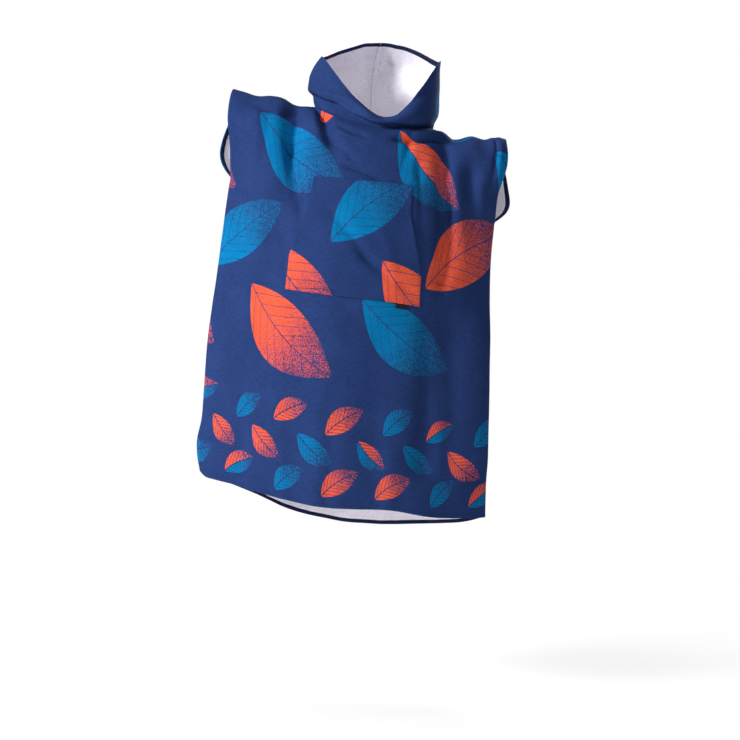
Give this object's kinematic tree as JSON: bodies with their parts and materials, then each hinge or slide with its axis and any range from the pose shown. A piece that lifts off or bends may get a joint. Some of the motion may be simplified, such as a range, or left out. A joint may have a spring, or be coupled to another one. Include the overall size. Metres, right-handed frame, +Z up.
{
  "type": "hooded bath poncho",
  "caption": "Knee-length hooded bath poncho in printed towelling, held open in its worn form, with wide short sleeves, a raised hood and a front pouch pocket.",
  "frame": {"origin": "middle of the neck opening at the height of the shoulders, where the garment rests on the wearer, on the plane of the side seams", "axes": "+Z up, -Y out of the front with the pocket, +X to the right of somebody who looks at the front"},
  "size_m": [0.802, 0.351, 1.2619],
  "materials": {
    "printed_towelling": "short soft towelling with a printed face in navy, coral and teal, a pale lilac reverse and a faint sheen",
    "woven_label": "bare black woven ribbon"
  },
  "bodies": {
    "root": {"front_panel": "printed_towelling", "back_panel": "printed_towelling", "hood_left": "printed_towelling", "hood_right": "printed_towelling", "pocket": "printed_towelling", "label": "woven_label"}
  },
  "joints": []
}
